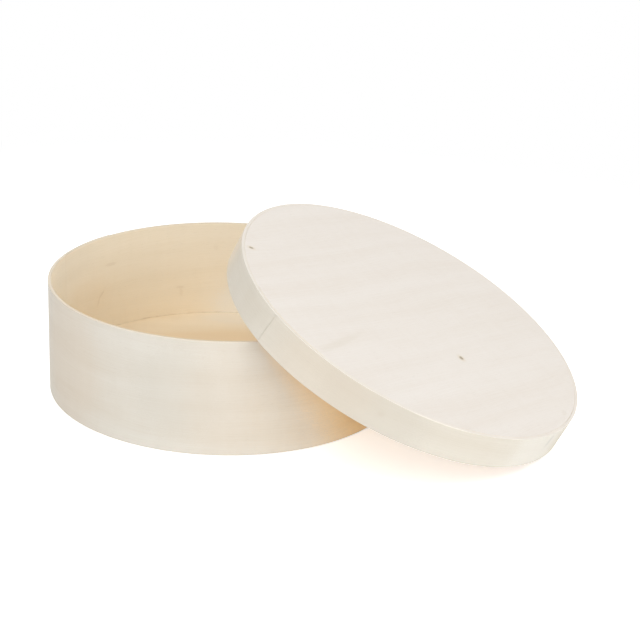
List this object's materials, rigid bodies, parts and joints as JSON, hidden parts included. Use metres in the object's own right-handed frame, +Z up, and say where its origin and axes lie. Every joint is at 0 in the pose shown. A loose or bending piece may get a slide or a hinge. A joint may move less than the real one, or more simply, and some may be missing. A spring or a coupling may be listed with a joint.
{
  "type": "cheese box",
  "caption": "Round shallow box of bent wood veneer, open, with its cap lid lying against the rim; it holds a soft cheese or small things.",
  "frame": {"origin": "centre of the box's underside, on the surface that it stands on", "axes": "+Z up along the box's axis, +X from the box towards the lid's low side, +Y to the left of that"},
  "size_m": [0.2369, 0.1647, 0.0819],
  "materials": {
    "band_veneer": "bare sliced veneer, matt",
    "disc_veneer": "bare sliced veneer, matt"
  },
  "bodies": {
    "box": {"box_band": "band_veneer", "box_bottom": "disc_veneer"},
    "lid": {"lid_band": "band_veneer", "lid_top": "disc_veneer"}
  },
  "joints": [
    {"name": "lid_lift", "type": "slide", "parent": "box", "child": "lid", "axis": [0.4288, 0, 0.9034], "range_m": [0, 0.06]}
  ]
}
